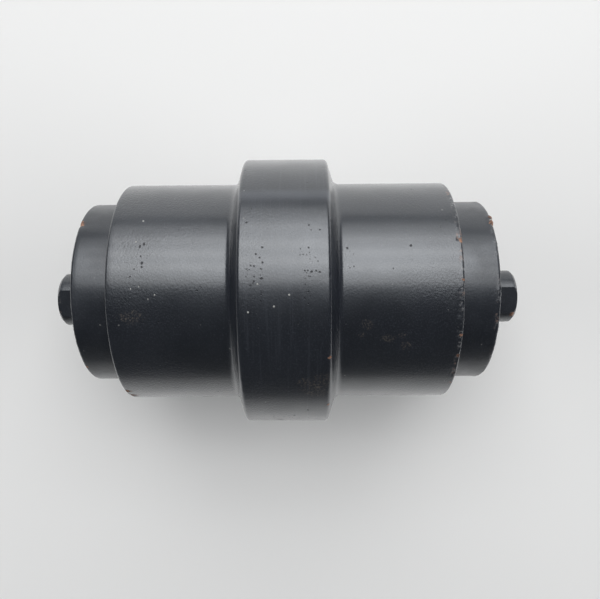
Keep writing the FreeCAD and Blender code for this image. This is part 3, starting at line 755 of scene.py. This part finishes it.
def painted_material(name, effects, paint, fields=(), pits=(), scratches=(), specks=(), dirt=(), rust=(),
                     painted_highlights=()):
    """Satin black paint on steel, with bare steel where the part isn't painted."""
    material, tree, shader, place = new_material(name)
    painted = add(tree, "ShaderNodeAttribute", attribute_name="painted").outputs["Fac"]
    wear = add(tree, "ShaderNodeAttribute", attribute_name="wear").outputs["Fac"]
    edge = placed(tree, effects["edge"], {"Place": place, "Wear": wear})

    field = maths(tree, "MULTIPLY_ADD", spots(tree, effects, place, fields), 0.90, PIT_SHARE)
    pitted = placed(tree, effects["pits"], {"Place": place, "Spacing": 1.5 * MM, "Where": field})["Mask"]
    pitted = maths(tree, "MAXIMUM", pitted, spots(tree, effects, place, pits))
    pitted = maths(tree, "MULTIPLY", pitted, 0.8)
    scratched = spots(tree, effects, place, scratches)
    moved = vector_maths(tree, "ADD", place, (0.3, 0.1, 0.2))
    dust = placed(tree, effects["pits"], {"Place": moved, "Spacing": 1.9 * MM, "Where": 0.012})["Mask"]
    dust = maths(tree, "MULTIPLY", dust, 0.35)
    pale = maths(tree, "MAXIMUM", spots(tree, effects, place, specks), dust)
    crumbs = ramped(tree, noise(tree, place, 1100.0, 3.0, 0.7), 0.46, 0.74)
    dirty = maths(tree, "MULTIPLY", spots(tree, effects, place, dirt), crumbs)
    dirty = maths(tree, "MULTIPLY", dirty, 0.50)
    rusty = maths(tree, "MAXIMUM", spots(tree, effects, place, rust), edge["Rust"])

    flat = vector_maths(tree, "MULTIPLY", place, (1.0, 0.0, 1.0))
    from_axis = add(tree, "ShaderNodeVectorMath", {0: flat}, operation="LENGTH").outputs["Value"]
    rubbed = ramped(tree, from_axis, RUBBED_RADIUS, RUBBED_RADIUS + 3.0 * MM)
    lines = placed(tree, effects["rings"], {"Place": place})["Lines"]
    lines = maths(tree, "MULTIPLY", lines, rubbed)
    colour = tint(tree, place, 38.0, PAINT_DARK, PAINT_LIGHT)
    fine_dust = ramped(tree, noise(tree, place, DUST_GRAIN, 3.0, 0.65), 0.48, 0.78, 0.0, 0.55)
    colour = mixed(tree, fine_dust, colour, PAINT_RUBBED_AND_HIGHLIGHT)
    colour = mixed(tree, ramped(tree, lines, 0.50, 0.80, 0.0, 0.35), colour, PAINT_RUBBED_AND_HIGHLIGHT)
    # Painted highlight: pale stripes along the flange that stand in for a reflection of the light's edge.
    for radius, degrees, width in painted_highlights:
        colour = mixed(tree, painted_highlight_band(tree, place, radius, degrees, width), colour, PAINT_RUBBED_AND_HIGHLIGHT)
    colour = mixed(tree, edge["Bare"], colour, BARE_EDGE)
    colour = mixed(tree, dirty, colour, DIRT)
    colour = mixed(tree, maths(tree, "MULTIPLY", scratched, 0.4), colour, PALE)
    colour = mixed(tree, maths(tree, "MULTIPLY", pale, 0.75), colour, PALE)
    colour = mixed(tree, rusty, colour, tint(tree, place, 700.0, RUST_DARK, RUST_LIGHT))
    colour = mixed(tree, pitted, colour, PIT)
    tool_lines = placed(tree, effects["rings"], {"Place": place, **TOOL_LINES})["Lines"]
    steel = mixed(tree, tool_lines, STEEL_DARK, STEEL_LIGHT)
    colour = mixed(tree, painted, steel, colour)
    tree.links.new(colour, shader.inputs["Base Color"])

    rough = ramped(tree, noise(tree, place, 60.0, 3.0), 0.3, 0.7, paint["roughness"] - paint["drift"],
                   paint["roughness"] + paint["drift"])
    dull = maths(tree, "MAXIMUM", pale, dirty)
    dull = maths(tree, "MAXIMUM", dull, maths(tree, "MAXIMUM", rusty, pitted))
    rough = blended(tree, dull, rough, 0.85)
    rough = blended(tree, painted, ramped(tree, tool_lines, 0.3, 0.7, 0.24, 0.40), rough)
    tree.links.new(rough, shader.inputs["Roughness"])
    metallic = blended(tree, painted, 1.0, maths(tree, "MULTIPLY", edge["Bare"], 0.3))
    tree.links.new(metallic, shader.inputs["Metallic"])
    shader.inputs["IOR"].default_value = PAINT_IOR
    shader.inputs["Specular Tint"].default_value = PAINT_SHEEN_TINT
    gloss = maths(tree, "MULTIPLY", blended(tree, dull, paint["gloss"], 0.0), painted)
    tree.links.new(gloss, shader.inputs["Coat Weight"])
    shader.inputs["Coat Roughness"].default_value = GLOSS_ROUGHNESS

    along = add(tree, "ShaderNodeSeparateXYZ", {0: place}).outputs[1]
    depth = ramped(tree, along, -24.0 * MM, 4.0 * MM, paint["peel_left"], paint["peel_right"])
    peel = {"Place": place, "Grain": PEEL_GRAIN, "Depth": depth}
    peel_height = placed(tree, effects["peel"], peel)["Height"]
    height = maths(tree, "MULTIPLY_ADD", lines, LINE_HEIGHT, peel_height)
    height = maths(tree, "MULTIPLY", height, painted)
    height = maths(tree, "MULTIPLY_ADD", pitted, PIT_HEIGHT, height)
    height = maths(tree, "MULTIPLY_ADD", scratched, SCRATCH_HEIGHT, height)
    height = maths(tree, "MULTIPLY_ADD", pale, SPECK_HEIGHT, height)
    height = maths(tree, "MULTIPLY_ADD", rusty, RUST_HEIGHT, height)
    height = maths(tree, "MULTIPLY_ADD", edge["Bare"], LOST_PAINT_HEIGHT, height)
    height = maths(tree, "MULTIPLY_ADD", tool_lines, TOOL_LINE_HEIGHT, height)
    bump = add(tree, "ShaderNodeBump", {"Height": height, "Distance": 1.0})
    tree.links.new(bump.outputs[0], shader.inputs["Normal"])
    return material


def turned_metal_material(name, effects, dark, light, roughness):
    """Bare machined metal with tool lines round it and faint stains."""
    material, tree, shader, place = new_material(name)
    lines = placed(tree, effects["rings"], {"Place": place, **TOOL_LINES})["Lines"]
    stains = ramped(tree, noise(tree, place, 120.0, 3.0, 0.6), 0.45, 0.75)
    colour = mixed(tree, lines, dark, light)
    stain = tuple(STAIN_SHADE * channel for channel in dark[:3]) + (1.0,)
    colour = mixed(tree, maths(tree, "MULTIPLY", stains, 0.35), colour, stain)
    tree.links.new(colour, shader.inputs["Base Color"])
    rough = maths(tree, "ADD", ramped(tree, lines, 0.3, 0.7, roughness - 0.06, roughness + 0.06),
                  maths(tree, "MULTIPLY", stains, 0.12))
    tree.links.new(rough, shader.inputs["Roughness"])
    shader.inputs["Metallic"].default_value = 1.0
    bump = add(tree, "ShaderNodeBump", {"Height": maths(tree, "MULTIPLY", lines, 6e-6), "Distance": 1.0})
    tree.links.new(bump.outputs[0], shader.inputs["Normal"])
    return material


def rubber_material(name, effects):
    """Matt black sealing rubber with a faint grey bloom."""
    material, tree, shader, place = new_material(name)
    bloom = ramped(tree, noise(tree, place, 90.0, 3.0, 0.6), 0.40, 0.75)
    colour = mixed(tree, bloom, (0.010, 0.010, 0.011, 1.0), (0.030, 0.030, 0.029, 1.0))
    tree.links.new(colour, shader.inputs["Base Color"])
    tree.links.new(maths(tree, "MULTIPLY_ADD", bloom, 0.18, 0.52), shader.inputs["Roughness"])
    grain = placed(tree, effects["peel"], {"Place": place, "Grain": 1500.0, "Depth": 1.5e-5})["Height"]
    bump = add(tree, "ShaderNodeBump", {"Height": grain, "Distance": 1.0})
    tree.links.new(bump.outputs[0], shader.inputs["Normal"])
    return material


PAINT_DARK, PAINT_LIGHT = (0.0042, 0.0054, 0.0086, 1.0), (0.0070, 0.0084, 0.0126, 1.0)
# Pale grey for dust and rubbed lines, also used for the painted highlight stripe on the flange.
PAINT_RUBBED_AND_HIGHLIGHT = (0.036, 0.040, 0.050, 1.0)
PAINT_IOR, PAINT_SHEEN_TINT = 1.70, (0.87, 0.93, 1.0, 1.0)
SHELL_PAINT = {"roughness": 0.36, "drift": 0.035, "gloss": 1.0, "peel_left": 2.0e-4, "peel_right": 1.2e-4}
COLLAR_PAINT = {"roughness": 0.45, "drift": 0.10, "gloss": 0.6, "peel_left": 8e-5, "peel_right": 6e-5}
SHAFT_PAINT = {"roughness": 0.40, "drift": 0.06, "gloss": 0.6, "peel_left": 5e-5, "peel_right": 5e-5}
PEEL_GRAIN, DUST_GRAIN = 1050.0, 1500.0
GLOSS_ROUGHNESS = 0.22
RUBBED_RADIUS = 60.0 * MM
PIT_SHARE = 0.010
LINE_HEIGHT, TOOL_LINE_HEIGHT, PIT_HEIGHT, SCRATCH_HEIGHT = 5e-6, 4e-6, -2.2e-4, -1.2e-4
SPECK_HEIGHT, RUST_HEIGHT, LOST_PAINT_HEIGHT = 6e-5, 5e-5, -5e-5
TOOL_LINES = {"Fineness": 2600.0, "Length": 12.0}
STAIN_SHADE = 0.45
BARE_EDGE = (0.16, 0.16, 0.165, 1.0)
DIRT, PALE, PIT = (0.16, 0.13, 0.10, 1.0), (0.42, 0.42, 0.40, 1.0), (0.003, 0.003, 0.004, 1.0)
RUST_DARK, RUST_LIGHT = (0.065, 0.032, 0.022, 1.0), (0.30, 0.160, 0.100, 1.0)
STEEL_DARK, STEEL_LIGHT = (0.34, 0.335, 0.33, 1.0), (0.56, 0.555, 0.545, 1.0)
INNER_METALS = {
    "bush": ((0.40, 0.23, 0.085, 1.0), (0.62, 0.40, 0.17, 1.0), 0.32),
    "thrust_washer": ((0.43, 0.26, 0.10, 1.0), (0.66, 0.44, 0.20, 1.0), 0.36),
    "seal_ring": ((0.20, 0.195, 0.19, 1.0), (0.36, 0.355, 0.35, 1.0), 0.28),
    "lock_pin": ((0.22, 0.22, 0.225, 1.0), (0.38, 0.38, 0.385, 1.0), 0.38),
    "oil_plug": ((0.30, 0.29, 0.25, 1.0), (0.50, 0.48, 0.40, 1.0), 0.34),
}
RUBBER_NODES = ("toric", "o_ring")


def dress_inner_nodes(effects):
    """Gives every CAD node that stays its own finish, by the words in its name."""
    finishes = {}
    for word, (dark, light, roughness) in INNER_METALS.items():
        finishes[word] = turned_metal_material(word + "_metal", effects, dark, light, roughness)
    rubber = rubber_material("seal_rubber", effects)
    for word in RUBBER_NODES:
        finishes[word] = rubber
    for name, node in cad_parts.items():
        for word, material in finishes.items():
            if name.endswith(word):
                node.data.materials.clear()
                node.data.materials.append(material)


# ================================================================================================
# Floor, light and camera
# ================================================================================================
VIEW_LEAN = math.radians(10.0)
ALONG = Vector((0.0, 1.0, 0.0))
VIEW_UP = Vector((-math.cos(VIEW_LEAN), 0.0, -math.sin(VIEW_LEAN)))
TOWARDS = Vector((-math.sin(VIEW_LEAN), 0.0, math.cos(VIEW_LEAN)))
VIEW_AXES = Matrix((ALONG, VIEW_UP, TOWARDS)).transposed()
CAMERA_PLACE = Vector((7.7, -3.9, 311.0)) * MM
CAMERA_TURN = Vector((0.15, -0.25, 0.45)) * math.radians(1.0)
CAMERA_SENSOR, CAMERA_LENS = 36.0, 36.0
LAMP_DISTANCE = 2.2
OVERHEAD_SIZE = (2.2, 0.76)
OVERHEAD_TILTS, OVERHEAD_SWING = (15, 30, 45, 60), 2.0
OVERHEAD_WATTS, BRIGHTEST_TILT, OVERHEAD_FADE = 16.0, 30.0, 2.0
SIDE_LAMPS = {"left": 25.0, "right": 29.0}
SIDE_SIZE, SIDE_SWING = (1.9, 1.25), 70.0
ROOM_GREY, BACKDROP_GREY = (0.08, 0.085, 0.09, 1.0), (0.72, 0.72, 0.715, 1.0)
FLOOR_HALF, FLOOR_GAP, FLOOR_ROUGHNESS = 3.0, 0.2 * MM, 0.6
FLOOR_PALE = (0.785, 0.785, 0.780, 1.0)
CAMERA_NEAR = 0.01


def make_camera():
    """Camera above the roller, in the view's own axes: along the roller, up the view, towards the eye."""
    data = bpy.data.cameras.new("camera")
    data.sensor_width = CAMERA_SENSOR
    data.lens = CAMERA_LENS
    data.clip_start = CAMERA_NEAR
    camera = bpy.data.objects.new("camera", data)
    bpy.context.scene.collection.objects.link(camera)
    turn = (Matrix.Rotation(CAMERA_TURN.z, 3, "Z") @ Matrix.Rotation(CAMERA_TURN.x, 3, "X")
            @ Matrix.Rotation(CAMERA_TURN.y, 3, "Y"))
    facing = (VIEW_AXES @ turn.transposed()).to_4x4()
    camera.matrix_world = Matrix.Translation(VIEW_AXES @ CAMERA_PLACE) @ facing
    bpy.context.scene.camera = camera


def make_lamp(name, tilt, swing, size, watts):
    """A soft lamp facing the roller: tilt degrees up the view, swing degrees along the roller."""
    data = bpy.data.lights.new(name, "AREA")
    data.shape = "RECTANGLE"
    data.size, data.size_y = size
    data.energy = watts
    lamp = bpy.data.objects.new(name, data)
    bpy.context.scene.collection.objects.link(lamp)
    tilt, swing = math.radians(tilt), math.radians(swing)
    away = Vector((math.sin(swing), math.sin(tilt) * math.cos(swing), math.cos(tilt) * math.cos(swing)))
    away = VIEW_AXES @ away
    facing = away.to_track_quat("Z", "Y").to_matrix().to_4x4()
    lamp.matrix_world = Matrix.Translation(away * LAMP_DISTANCE) @ facing
    return lamp


def make_floor():
    mesh = bpy.data.meshes.new("floor")
    z = SHELL_LOW[2] - FLOOR_GAP
    corners = [(x * FLOOR_HALF, y * FLOOR_HALF, z) for x, y in ((-1, -1), (1, -1), (1, 1), (-1, 1))]
    mesh.from_pydata(corners, [], [(0, 1, 2, 3)])
    floor = bpy.data.objects.new("floor", mesh)
    bpy.context.scene.collection.objects.link(floor)
    material, tree, shader, place = new_material("floor_pale")
    shader.inputs["Base Color"].default_value = FLOOR_PALE
    shader.inputs["Roughness"].default_value = FLOOR_ROUGHNESS
    mesh.materials.append(material)


def light_scene():
    world = bpy.data.worlds.new("room")
    bpy.context.scene.world = world
    world.use_nodes = True
    tree = world.node_tree
    seen = add(tree, "ShaderNodeLightPath").outputs["Is Camera Ray"]
    shade = mixed(tree, seen, ROOM_GREY, BACKDROP_GREY)
    tree.links.new(shade, tree.nodes["Background"].inputs["Color"])
    for tilt in OVERHEAD_TILTS:
        watts = OVERHEAD_WATTS * math.cos(math.radians(OVERHEAD_FADE * (tilt - BRIGHTEST_TILT)))
        make_lamp("overhead_%d" % tilt, tilt, OVERHEAD_SWING, OVERHEAD_SIZE, watts)
    for side, watts in SIDE_LAMPS.items():
        fill = make_lamp(side + "_fill", 0.0, SIDES[side] * SIDE_SWING, SIDE_SIZE, watts)
        fill.visible_glossy = False
    bpy.context.scene.view_settings.view_transform = "Standard"


# ================================================================================================
# Assembly
# ================================================================================================
def main():
    effects = shared_effects()
    turned = turned_piece_tree()
    shell_paint = painted_material(
        "shell_paint_black", effects, SHELL_PAINT, SHELL_PIT_FIELDS, SHELL_PITS, SHELL_SCRATCHES,
        SHELL_PALE_SPECKS, SHELL_DIRT, SHELL_RUST, SHELL_PAINTED_HIGHLIGHTS)
    collar_paint = painted_material(
        "collar_paint_black", effects, COLLAR_PAINT, specks=COLLAR_PALE_SPECKS, rust=COLLAR_RUST)
    shaft_paint = painted_material("shaft_paint_black", effects, SHAFT_PAINT, rust=STUB_RUST)
    shell = make_shell(turned, shell_paint)
    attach(shell, "roller")
    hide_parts("roller_shell")
    for side in SIDES:
        collar = make_collar(side, turned, collar_paint)
        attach(collar, "axle")
        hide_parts(side + "_end_collar")
    shaft = make_shaft(shaft_paint)
    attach(shaft, "axle")
    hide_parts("shaft")
    dress_inner_nodes(effects)
    make_floor()
    light_scene()
    make_camera()


main()
